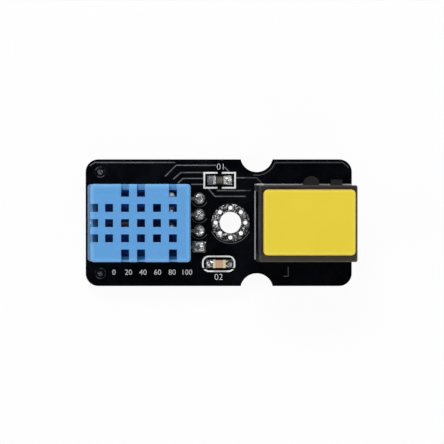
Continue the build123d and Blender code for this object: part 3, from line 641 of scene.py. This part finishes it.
for row in frame["record"]["subparts"]:
    node = nodes[row["node"]]
    node.data.materials.clear()
    node.data.materials.append(finishes[row["material_slot"]])
nodes["resistor_caps"].data.materials[0] = chipMetal
nodes["capacitor_caps"].data.materials[0] = capMetal
nodes["alignment_marks"].data.materials[0] = markMetal
print("finishes made:", len(bpy.data.materials))


# Surfaces


# quads of a rows by columns grid of points whose columns close on themselves; the rows
# close too where loop is set, and otherwise a face may fill the first and the last row
def gridFaces(rows, cols, start, loop, fillFirst, fillLast):
    r = np.arange(rows if loop else rows - 1)[:, None]
    c = np.arange(cols)[None, :]
    nextR, nextC = (r + 1) % rows, (c + 1) % cols
    corners = [r * cols + c, r * cols + nextC, nextR * cols + nextC, nextR * cols + c]
    faces = (np.stack(corners, axis=-1).reshape(-1, 4) + start).tolist()
    if fillFirst:
        faces.append((np.arange(cols)[::-1] + start).tolist())
    if fillLast:
        faces.append((np.arange(cols) + (rows - 1) * cols + start).tolist())
    return faces


# one piece from several grids of points in millimetres, each with loop: a loop closes in
# both directions, and any other grid is a tube with both ends filled
def makePiece(name, grids, slot, instead=(), sharp=50, finish=None):
    points, faces, start = [], [], 0
    for grid, loop in grids:
        rows, cols = grid.shape[:2]
        faces += gridFaces(rows, cols, start, loop, not loop, not loop)
        points.append(grid.reshape(-1, 3) * mm)
        start += rows * cols
    mesh = bpy.data.meshes.new(name)
    mesh.from_pydata(np.concatenate(points).tolist(), [], faces)
    shape = bmesh.new()
    shape.from_mesh(mesh)
    bmesh.ops.remove_doubles(shape, verts=shape.verts, dist=1e-7)
    bmesh.ops.recalc_face_normals(shape, faces=shape.faces)
    shape.to_mesh(mesh)
    shape.free()
    mesh.polygons.foreach_set("use_smooth", np.ones(len(mesh.polygons), bool))
    mesh.set_sharp_from_angle(angle=math.radians(sharp))
    return settle(name, mesh, slot, instead, finish)


# links a piece to the scene, with its own finish or else its slot's
def settle(name, mesh, slot, instead=(), finish=None):
    piece = bpy.data.objects.new(name, mesh)
    bpy.context.scene.collection.objects.link(piece)
    mesh.materials.clear()
    mesh.materials.append(finish or finishes[slot])
    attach(piece, "root")
    if instead:
        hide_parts(*instead)
    return piece


# angles round a full turn, without the last one, which would repeat the first
def around(count):
    return np.linspace(0, fullTurn, count, endpoint=False)


# angles round a rounded rectangle, and for each the side of the middle (1 or -1) in x and
# in y on which its corner lies
def cornerAngles(perCorner):
    quarter = np.linspace(0, math.pi / 2, perCorner)
    angle = np.concatenate([quarter + turn * math.pi / 2 for turn in range(4)])
    signX = np.repeat([1, -1, -1, 1], perCorner)
    signY = np.repeat([1, 1, -1, -1], perCorner)
    return angle, signX, signY


# sum of a few sine waves of random direction and phase, mostly between -1 and 1
def ripple(x, y, seed, pitch, waves=7):
    draw = np.random.default_rng(seed)
    turn, phase = draw.uniform(0, fullTurn, (2, waves))
    size = pitch * draw.uniform(0.6, 1.6, waves)
    run = x[..., None] * np.cos(turn) + y[..., None] * np.sin(turn)
    return np.sin(run * (fullTurn / size) + phase).sum(axis=-1) / math.sqrt(waves)


# tin that has run over the ring's two faces: round the hole (angle) and across the band
# (share from inner to outer edge), height = (crown * arch ** 0.5 + ripples) * free, where
# arch = sin(pi * share) and free is 0 at each via; a flat copy inside the foil closes it
def ringTin():
    look = {
        "inner": 1.78,
        "outer": 2.96,
        "crown": 0.07,
        "lumps": 0.035,
        "lumpPitch": 0.9,
        "least": 0.004,
        "viaClear": 0.43,
        "viaSlope": 0.2,
        "sink": 0.012,
        "under": 0.02,
        "seedAbove": 3,
        "seedBelow": 8,
        "around": 256,
        "across": 22,
    }
    low, high = nodeBox("mounting_ring")
    angle = around(look["around"])[None, :]
    share = np.linspace(0, 1, look["across"])[:, None]
    arch = np.sin(math.pi * share).clip(0)
    radius = look["inner"] + (look["outer"] - look["inner"]) * share
    x, y = radius * np.cos(angle), radius * np.sin(angle)
    viaAngle = around(vias["count"])
    fromX = x[..., None] - vias["ring"] * np.cos(viaAngle)
    fromY = y[..., None] - vias["ring"] * np.sin(viaAngle)
    away = np.hypot(fromX, fromY).min(axis=-1)
    free = np.clip((away - look["viaClear"]) / look["viaSlope"], 0, 1) ** 0.5
    grids = []
    for face, up, seed in ((high[2], 1, look["seedAbove"]), (low[2], -1, look["seedBelow"])):
        lumps = look["lumps"] * ripple(x, y, seed, look["lumpPitch"])
        rise = (look["crown"] * np.sqrt(arch) + lumps).clip(look["least"]) * free
        top = np.stack([x, y, face + up * (rise - look["sink"]) * arch**0.3], axis=-1)
        under = top.copy()
        under[..., 2] = face - up * look["under"]
        grids.append((np.concatenate([top, under[::-1]]), True))
    clearVias(makePiece("ringTin", grids, "tin", sharp=60))


# cuts the open vias out of a piece: a straight round tube for each
def clearVias(piece):
    look = {"radius": 0.36, "low": -2.0, "high": 4.0, "sides": 20}
    angle = around(look["sides"])
    points, faces = [], []
    for i, turn in enumerate(around(vias["count"])):
        x = vias["ring"] * math.cos(turn) + look["radius"] * np.cos(angle)
        y = vias["ring"] * math.sin(turn) + look["radius"] * np.sin(angle)
        for z in (look["low"], look["high"]):
            points.append(np.stack([x, y, np.full_like(x, z)], axis=-1))
        faces += gridFaces(2, look["sides"], i * 2 * look["sides"], False, True, True)
    cutter = bpy.data.meshes.new("viaCutter")
    cutter.from_pydata((np.concatenate(points) * mm).tolist(), [], faces)
    shape = bmesh.new()
    shape.from_mesh(cutter)
    bmesh.ops.recalc_face_normals(shape, faces=shape.faces)
    shape.to_mesh(cutter)
    shape.free()
    tool = bpy.data.objects.new("viaCutter", cutter)
    bpy.context.scene.collection.objects.link(tool)
    cut = piece.modifiers.new("vias", "BOOLEAN")
    cut.operation = "DIFFERENCE"
    cut.solver = "EXACT"
    cut.object = tool
    whole = finishedMesh(piece)
    piece.modifiers.clear()
    piece.data = whole
    whole.name = "ringTin"
    bpy.data.objects.remove(tool)


# the mesh that an object has after its modifiers, or that its text makes
def finishedMesh(thing):
    bpy.context.view_layer.update()
    return bpy.data.meshes.new_from_object(
        thing.evaluated_get(bpy.context.evaluated_depsgraph_get())
    )


# blob of solder round x, y: reach = foot * cos(share) ** power, height * sin(share) ** 0.9
# above its base, with ripples that fade out at the foot and a dip at the top; an outline
# of squareness 2 is round, and a higher one nearly square
def blob(x, y, base, foot, height, seed, lump, size, squareness=2.0, power=0.8, pitch=0.8, dip=0.0):
    rows, cols = size
    share = np.linspace(0, 1, rows)[:, None] * math.pi / 2
    angle = around(cols)[None, :]
    powers = np.abs(np.cos(angle)) ** squareness + np.abs(np.sin(angle)) ** squareness
    reach = np.cos(share) ** power * powers ** (-1 / squareness)
    px, py = foot[0] * reach * np.cos(angle), foot[1] * reach * np.sin(angle)
    fade = np.sin(share) * np.cos(share) ** 0.3
    waves = ripple(px + seed, py - seed, seed, pitch) * lump * fade
    top = base + height * np.sin(share) ** 0.9 + waves * np.sign(height)
    top = top - dip * np.exp(-((np.cos(share) / 0.4) ** 2))
    return np.stack([x + px * (1 + 0.5 * waves), y + py * (1 - 0.4 * waves), top], axis=-1)


# solder of the four legs: a dome above and a cone below each land, the last land square
def legSolder():
    look = {
        "feet": ((0.92, 0.92), (0.92, 0.92), (0.92, 0.92), (1.02, 0.87)),
        "squareness": (2.0, 2.0, 2.0, 4.0),
        "height": 1.08,
        "lump": 0.13,
        "lumpPitch": 0.6,
        "dips": (0.16, 0.0, 0.24, 0.30),
        "domeSize": (28, 64),
        "coneFoot": (0.74, 0.74),
        "coneHeight": 1.0,
        "coneLump": 0.05,
        "conePower": 1.5,
        "coneSize": (20, 48),
        "seeds": (11, 31),
        "sink": 0.002,
    }
    low, high = nodeBox("sensor_lands")
    x = (low[0] + high[0]) / 2
    grids = []
    for i in range(4):
        y = (1.5 - i) * legPitch
        dome = blob(
            x,
            y,
            high[2] - look["sink"],
            look["feet"][i],
            look["height"],
            look["seeds"][0] + i,
            look["lump"],
            look["domeSize"],
            squareness=look["squareness"][i],
            pitch=look["lumpPitch"],
            dip=look["dips"][i],
        )
        cone = blob(
            x,
            y,
            low[2] + look["sink"],
            look["coneFoot"],
            -look["coneHeight"],
            look["seeds"][1] + i,
            look["coneLump"],
            look["coneSize"],
            power=look["conePower"],
        )
        grids += [(dome, False), (cone, False)]
    makePiece("legSolder", grids, "solder", ["sensor_solder"], 70)


# solder cones under the jack's six tails, which stand in two staggered rows
def jackTailSolder():
    look = {
        "foot": (0.56, 0.56),
        "height": 0.84,
        "lump": 0.04,
        "power": 1.6,
        "size": (14, 32),
        "seed": 51,
        "firstX": 0.62,  # from the lands' left edge
        "rowPitch": 2.54,
        "tailPitch": 1.02,
        "sink": 0.002,
    }
    low, high = nodeBox("jack_lands")
    base = low[2] + look["sink"]
    grids = []
    for i in range(6):
        x = low[0] + look["firstX"] + (i % 2) * look["rowPitch"]
        y = (i - 2.5) * look["tailPitch"]
        seed, height = look["seed"] + i, -look["height"]
        foot, lump, size = look["foot"], look["lump"], look["size"]
        cone = blob(x, y, base, foot, height, seed, lump, size, power=look["power"])
        grids.append((cone, False))
    makePiece("jackTailSolder", grids, "solder", ["jack_solder"], 70)


# solder of the legs' ends on the board inside the sensor, run out towards +Y; the last
# joint is small
def innerLegSolder():
    look = {
        "x": -9.25,
        "runOut": (0.3, 0.54, 0.64, 0.4),
        "feet": (0.66, 0.66, 0.66, 0.4),
        "height": 1.95,
        "lump": 0.12,
        "size": (14, 36),
        "seed": 21,
        "sink": 0.005,
    }
    base = nodeBox("sensor_board")[1][2] - look["sink"]
    grids = []
    for i, foot in enumerate(look["feet"]):
        y = (1.5 - i) * legPitch + look["runOut"][i]
        seed = look["seed"] + i
        dome = blob(look["x"], y, base, (foot, foot), look["height"], seed, look["lump"], look["size"])
        grids.append((dome, False))
    # painted glints: the solder is painted milky white
    makePiece("innerLegSolder", grids, "solder", sharp=70, finish=whiteGlintSolder())


# rounded rim of each grille hole: round the hole (angle, on a rounded square) and over the
# rim's cross-section, a flat ellipse
def holeRims():
    look = {
        "pitch": (2.475, 2.354),
        "shift": 0.1,
        "columns": (-2, -1, 0, 1, 2),
        "rows": (-1, 0, 1),
        "hole": 1.25,
        "corner": 0.06,
        "width": 0.16,
        "height": 0.035,
        "aroundCorner": 6,
        "across": 10,
        "sink": 0.01,
    }
    low, high = nodeBox("sensor_cover")
    middle = (low + high) / 2
    angle, signX, signY = (values[:, None] for values in cornerAngles(look["aroundCorner"]))
    turn = around(look["across"])[None, :]
    half = look["hole"] / 2 - look["corner"]
    reach = look["corner"] + look["width"] / 2 * (1 + np.cos(turn)) - look["sink"]
    ringX = signX * half + reach * np.cos(angle)
    ringY = signY * half + reach * np.sin(angle)
    z = high[2] - look["sink"] + look["height"] * np.sin(turn).clip(-0.2) + 0 * angle
    grids = []
    for column in look["columns"]:
        for row in look["rows"]:
            x = middle[0] + look["shift"] + column * look["pitch"][0]
            y = middle[1] + row * look["pitch"][1]
            grids.append((np.stack([x + ringX, y + ringY, z], axis=-1), True))
    makePiece("holeRims", grids, "blue_shell")


# thin line of half-round section along a path of (x, y, z) corners: each corner gets a ring
# of points, across = cos(turn) * width / 2 and up = sin(turn) * height along outward
def ridge(path, outward, width, height, sides=10):
    path, outward = np.array(path, float), np.array(outward, float)
    ahead = np.gradient(path, axis=0)
    ahead /= np.linalg.norm(ahead, axis=1, keepdims=True)
    side = np.cross(ahead, outward)
    side /= np.linalg.norm(side, axis=1, keepdims=True)
    turn = around(sides)[None, :, None]
    across = side[:, None, :] * np.cos(turn) * width / 2
    up = outward[:, None, :] * (np.sin(turn).clip(-0.3) * height)
    return (path[:, None, :] + across + up, False)


# marks that the mould leaves on the jack: a parting line round three sides, and two low round
# ejector marks on one flank, each a stack of circles, radius = markRadius * share at a rise
def jackMouldMarks():
    look = {
        "partZ": 9.2,
        "width": 0.09,
        "height": 0.05,
        "corner": 0.3,
        "mouthGap": 0.4,
        "markX": (8.2, 15.6),
        "markZ": 4.6,
        "markRadius": 0.7,
        "markRise": (0.0, 0.05, 0.05, 0.03, 0.02),
        "markShare": (1.0, 0.97, 0.86, 0.8, 0.02),
        "markSides": 40,
        "sink": 0.005,
    }
    left, half, corner = jackBlock["left"], jackBlock["half"], look["corner"]
    right = jackBlock["right"] - look["mouthGap"]
    bend = np.linspace(0, math.pi / 2, 7)
    bendX, bendY = left + corner * (1 - np.sin(bend)), -half + corner * (1 - np.cos(bend))
    pathX = np.concatenate([[right], bendX, bendX[::-1], [right]])
    pathY = np.concatenate([[-half], bendY, -bendY[::-1], [half]])
    facingX = np.concatenate([[0], -np.sin(bend), -np.sin(bend[::-1]), [0]])
    facingY = np.concatenate([[-1], -np.cos(bend), np.cos(bend[::-1]), [1]])
    path = np.stack([pathX, pathY, np.full_like(pathX, look["partZ"])], axis=-1)
    facing = np.stack([facingX, facingY, np.zeros_like(facingX)], axis=-1)
    grids = [ridge(path, facing, look["width"], look["height"])]
    angle = around(look["markSides"])[None, :]
    share = np.array(look["markShare"])[:, None] * look["markRadius"]
    y = -half - np.array(look["markRise"])[:, None] + look["sink"] + 0 * angle
    z = look["markZ"] + share * np.sin(angle)
    for x in look["markX"]:
        grids.append((np.stack([x + share * np.cos(angle), y, z], axis=-1), False))
    makePiece("jackMouldMarks", grids, "jack_shell", sharp=40)


# copper lines that stand out under the lacquer of the board's underside
def undersideLines():
    look = {"width": 0.2, "height": 0.022, "z": 0.0, "sides": 8}
    routes = [
        [(-4.9, 5.4), (-4.0, 6.3), (3.4, 6.3), (5.6, 4.1), (5.6, 3.4)],
        [(-5.0, 1.9), (-4.3, 2.6), (-3.5, 3.4), (2.6, 3.4), (4.6, 1.4), (5.3, 1.4)],
        [(-3.9, -1.3), (-3.3, -1.9), (-3.3, -3.4), (3.2, -3.4), (5.0, -1.6)],
        [(-4.9, -5.0), (-3.7, -6.2), (4.2, -6.2), (8.1, -3.4)],
    ]
    for side in (1, -1):  # along both long edges, on each side of the notch
        routes.append([(-22.3, side * 8.9), (-21.8, side * 9.4), (1.2, side * 9.4)])
    for side in (1, -1):
        routes.append([(7.1, side * 9.4), (17.2, side * 9.4), (18.6, side * 8.2)])
    grids = []
    for route in routes:
        path = [(x, y, look["z"]) for x, y in route]
        down = [(0, 0, -1)] * len(path)
        grids.append(ridge(path, down, look["width"], look["height"], look["sides"]))
    makePiece("undersideLines", grids, "lacquered_copper", sharp=60)


# edge of the lacquer round each alignment mark: a low ring, round (angle) and over its
# cross-section, which is a flat half circle
def markRings():
    look = {
        "radius": 0.80,
        "width": 0.18,
        "height": 0.02,
        "markRadius": 0.45,
        "around": 64,
        "across": 8,
    }
    low, high = nodeBox("alignment_marks")
    x = (low[0] + high[0]) / 2
    angle = around(look["around"])[:, None]
    turn = around(look["across"])[None, :]
    radius = look["radius"] + look["width"] / 2 * np.cos(turn)
    z = low[2] + (look["height"] * np.sin(turn)).clip(-0.004) + 0 * angle
    grids = []
    for y in (low[1] + look["markRadius"], high[1] - look["markRadius"]):
        ring = np.stack([x + radius * np.cos(angle), y + radius * np.sin(angle), z], axis=-1)
        grids.append((ring, True))
    makePiece("markRings", grids, "lacquered_board", sharp=60, finish=rimLacquer())


# low and high corner, seen from above, of the chip lands on one side (1 or -1) of the board
def chipLands(side):
    mesh = nodes["chip_lands"].data
    place = np.empty(len(mesh.vertices) * 3)
    mesh.vertices.foreach_get("co", place)
    place = place.reshape(-1, 3)[:, :2] / mm
    mine = place[place[:, 1] * side > 0]
    return mine.min(axis=0), mine.max(axis=0)


# solder of a chip: over each land, from its outer end (along = 0) to the cap (along = 1),
# height = rise * along ** 2.2 + swell * sin(pi * along) ** 0.7 + ripples, pulled down at
# both sides and narrower at the outer end, over a flat foot
def chipSolder(name, joint, finish):
    look = {
        "rows": 26,
        "cols": 30,
        "margin": 0.03,
        "tuck": 0.1,
        "taper": 0.3,
        "lump": 0.035,
        "lumpPitch": 0.8,
        "least": 0.004,
        "sink": 0.01,
    }
    bodyLow, bodyHigh = nodeBox(joint["chip"])
    landLow, landHigh = chipLands(joint["side"])
    base = nodeBox("chip_lands")[1][2]
    half = (landHigh[1] - landLow[1]) / 2 - look["margin"]
    centreY = (landHigh[1] + landLow[1]) / 2
    along = np.linspace(0, 1, look["rows"])[:, None]
    across = np.linspace(-1, 1, look["cols"])[None, :]
    taper = np.sqrt(1 - (1 - np.minimum(along / look["taper"], 1)) ** 2 * 0.85)
    side = (1 - np.abs(across) ** 2.4).clip(0)
    arch = np.sin(math.pi * along)
    climb = joint["rise"] * along**2.2 + joint["swell"] * arch.clip(0) ** 0.7
    leftEnds = (landLow[0] + look["margin"], bodyLow[0] + look["tuck"])
    rightEnds = (landHigh[0] - look["margin"], bodyHigh[0] - look["tuck"])
    grids = []
    for i, (outer, inner) in enumerate((leftEnds, rightEnds)):
        x = outer + (inner - outer) * along + 0 * across
        y = centreY + half * across * taper
        lumps = look["lump"] * ripple(x, y, joint["seed"] + i, look["lumpPitch"]) * side * arch
        height = (climb * side**0.6 + lumps).clip(0) + look["least"]
        top = np.stack([x, y, base + height], axis=-1)
        floor = np.stack([x, y, np.full(x.shape, base - look["sink"])], axis=-1)
        section = np.concatenate([top, floor[:, ::-1]], axis=1)  # over the top and back below
        grids.append((section, False))
    makePiece(name, grids, "solder", [joint["instead"]], 60, finish)


# label plate: rounded rectangle outlines, each inset by a step and set to that step's height
def labelPlate():
    look = {
        "corner": 0.8,
        "steps": [  # inset from the edge, height above the jack
            (0.00, 0.00),
            (0.00, 0.12),
            (0.02, 0.20),
            (0.06, 0.26),
            (0.12, 0.30),
            (0.18, 0.32),
            (0.25, 0.33),
            (0.34, 0.328),
            (0.44, 0.32),
            (0.60, 0.314),
            (0.80, 0.312),
            (1.60, 0.31),
        ],
        "aroundCorner": 20,
        "sag": 0.012,
        "sagPitch": 6.0,
        "sagFrom": 0.3,
        "seed": 71,
    }
    low, high = nodeBox("jack_label")
    middle, half = (low + high) / 2, (high - low) / 2
    steps = np.array(look["steps"])
    inset, height = steps[:, :1], steps[:, 1:]
    angle, signX, signY = (values[None, :] for values in cornerAngles(look["aroundCorner"]))
    radius = (look["corner"] - inset).clip(0.02)
    x = middle[0] + signX * (half[0] - inset - radius) + radius * np.cos(angle)
    y = middle[1] + signY * (half[1] - inset - radius) + radius * np.sin(angle)
    wave = look["sag"] * ripple(x, y, look["seed"], look["sagPitch"]) * (inset > look["sagFrom"])
    outline = np.stack([x, y, low[2] + height + wave], axis=-1)
    makePiece("labelPlate", [(outline, False)], "yellow_plate", ["jack_label"], 40)


# plain numerals: flat text with a little thickness, made a mesh and laid on a surface
def numeral(name, look, finish=None):
    curve = bpy.data.curves.new(name, "FONT")
    curve.body = look["text"]
    curve.size = look["size"] * mm
    curve.align_x = "CENTER"
    curve.align_y = "CENTER"
    curve.extrude = look.get("lift", 0.012) * mm
    curve.offset = -look.get("thin", 0.0) * mm
    curve.resolution_u = 4
    holder = bpy.data.objects.new(name + "Text", curve)
    bpy.context.scene.collection.objects.link(holder)
    mesh = finishedMesh(holder)
    bpy.data.objects.remove(holder)
    place = np.empty(len(mesh.vertices) * 3)
    mesh.vertices.foreach_get("co", place)
    place = place.reshape(-1, 3) * [look.get("squeeze", 1.0), 1, 1] + np.array(look["at"]) * mm
    mesh.vertices.foreach_set("co", place.ravel())
    mesh.update()
    settle(name, mesh, "white_print", finish=finish)


resistorJoint = {
    "chip": "resistor_body",
    "side": 1,
    "rise": 0.36,
    "swell": 0.2,
    "seed": 81,
    "instead": "resistor_solder",
}
capacitorJoint = {
    "chip": "capacitor_body",
    "side": -1,
    "rise": 0.42,
    "swell": 0.26,
    "seed": 91,
    "instead": "capacitor_solder",
}
printZ = boardTop + 0.015
resistorNumeral = {"text": "01", "at": (-1.50, 8.78, printZ), "size": 1.42, "thin": 0.035}
capacitorNumeral = {"text": "02", "at": (-1.86, -8.62, printZ), "size": 1.42, "thin": 0.03}
scaleMarks = {"left": -18.4, "right": -6.9, "count": 6, "step": 20, "y": -7.86, "size": 1.2}
resistanceCode = {
    "text": "103",
    "at": (-1.70, 6.69, nodeBox("resistor_film")[1][2]),
    "size": 1.15,
    "lift": 0.006,
    "squeeze": 0.5,
}

ringTin()
legSolder()
jackTailSolder()
chipSolder("resistorSolder", resistorJoint, finishes["solder"])
chipSolder("capacitorSolder", capacitorJoint, reflowed)
labelPlate()
numeral("numeralResistor", resistorNumeral)
numeral("numeralCapacitor", capacitorNumeral)
scaleX = np.linspace(scaleMarks["left"], scaleMarks["right"], scaleMarks["count"])
for i, x in enumerate(scaleX):
    mark = {"text": str(i * scaleMarks["step"]), "at": (x, scaleMarks["y"], printZ)}
    numeral(f"scale{i}", mark | {"size": scaleMarks["size"]})
numeral("resistanceCode", resistanceCode, codePrint())
innerLegSolder()
holeRims()
markRings()
jackMouldMarks()
undersideLines()
print("pieces made")


# Studio


# pale floor that curves up into an open wall: radius = flat + bend * sin, height =
# bend * (1 - cos), then straight up; it shows its own glow to the camera and to reflections
def studioBowl():
    look = {
        "paper": (0.86, 0.86, 0.86),
        "flat": 0.55,  # metres, as all of the studio
        "bend": 0.35,
        "wall": 0.45,
        "floorZ": -0.00142,
        "glow": 0.94,
        "glossyGlow": 0.6,
        "around": 96,
    }
    share = np.linspace(0, 1, 24)[:, None]
    angle = around(look["around"])[None, :]
    flat = np.linspace(0.0005, 1, 6)[:, None] * look["flat"]
    radius = np.concatenate([flat, look["flat"] + look["bend"] * np.sin(share * math.pi / 2)])
    height = np.concatenate([flat * 0, look["bend"] * (1 - np.cos(share * math.pi / 2))])
    radius = np.concatenate([radius, radius[-1:]])
    height = np.concatenate([height, height[-1:] + look["wall"]])
    z = look["floorZ"] + height + 0 * angle
    points = np.stack([radius * np.cos(angle), radius * np.sin(angle), z], axis=-1)
    rows, cols = points.shape[:2]
    mesh = bpy.data.meshes.new("studioBowl")
    mesh.from_pydata(points.reshape(-1, 3).tolist(), [], gridFaces(rows, cols, 0, False, True, False))
    mesh.flip_normals()
    mesh.polygons.foreach_set("use_smooth", np.ones(len(mesh.polygons), bool))
    bowl = bpy.data.objects.new("studioBowl", mesh)
    bpy.context.scene.collection.objects.link(bowl)
    m = Finish("studioPaper", {"Base Color": look["paper"], "Roughness": 0.9})
    rays = ("Is Camera Ray", "Is Glossy Ray")
    camera, glossy = m.node("ShaderNodeLightPath", {}, {}, rays)
    shown = camera * look["glow"] + glossy * look["glossyGlow"]
    white = m.node("ShaderNodeEmission", {}, {"Color": (1, 1, 1), "Strength": 1.0})
    paper = Wire(m, m.shader.outputs[0])
    mixed = m.node("ShaderNodeMixShader", {}, {0: shown, 1: paper, 2: white})
    m.plug(m.output.inputs["Surface"], mixed)
    mesh.materials.append(m.material)


# one soft rectangular lamp, turned towards the object
def softLamp(name, place, size, power):
    lamp = bpy.data.lights.new(name, "AREA")
    lamp.shape = "RECTANGLE"
    lamp.size, lamp.size_y = size
    lamp.energy = power
    holder = bpy.data.objects.new(name, lamp)
    holder.location = place
    aim = np.array([0.0, 0.0, 0.005]) - np.array(place)
    lean = math.atan2(math.hypot(aim[0], aim[1]), -aim[2])
    holder.rotation_euler = (lean, 0.0, math.atan2(aim[1], aim[0]) - math.pi / 2)
    bpy.context.scene.collection.objects.link(holder)


def studioWorld(strength):
    world = bpy.data.worlds.new("studioWorld")
    bpy.context.scene.world = world
    world.use_nodes = True
    back = world.node_tree.nodes["Background"]
    back.inputs["Color"].default_value = (1, 1, 1, 1)
    back.inputs["Strength"].default_value = strength


# camera high above the board and a little towards +Y, as in the photo
def photoCamera():
    look = {"lens": 150.5, "place": (-1.33, 3.4, 294.6), "target": (-1.33, 0.11, 1.6)}
    camera = bpy.data.cameras.new("photoCamera")
    camera.lens = look["lens"]
    camera.sensor_width = 36
    camera.clip_start = 0.01
    camera.clip_end = 10
    holder = bpy.data.objects.new("photoCamera", camera)
    bpy.context.scene.collection.objects.link(holder)
    place = np.array(look["place"]) * mm
    aim = np.array(look["target"]) * mm - place
    holder.location = place
    holder.rotation_euler = (math.atan2(aim[1], -aim[2]), 0, 0)
    bpy.context.scene.camera = holder


studioBowl()
studioWorld(0.06)
softLamp("keyLamp", (-0.07, 0.36, 0.46), (0.30, 0.20), 2.05)
softLamp("leftLamp", (-0.42, -0.04, 0.36), (0.22, 0.22), 0.72)
softLamp("rightLamp", (0.42, 0.02, 0.38), (0.22, 0.22), 0.64)
softLamp("frontLamp", (0.05, -0.44, 0.36), (0.26, 0.18), 0.72)
photoCamera()
bpy.context.scene.view_settings.view_transform = "Standard"
print("studio set")
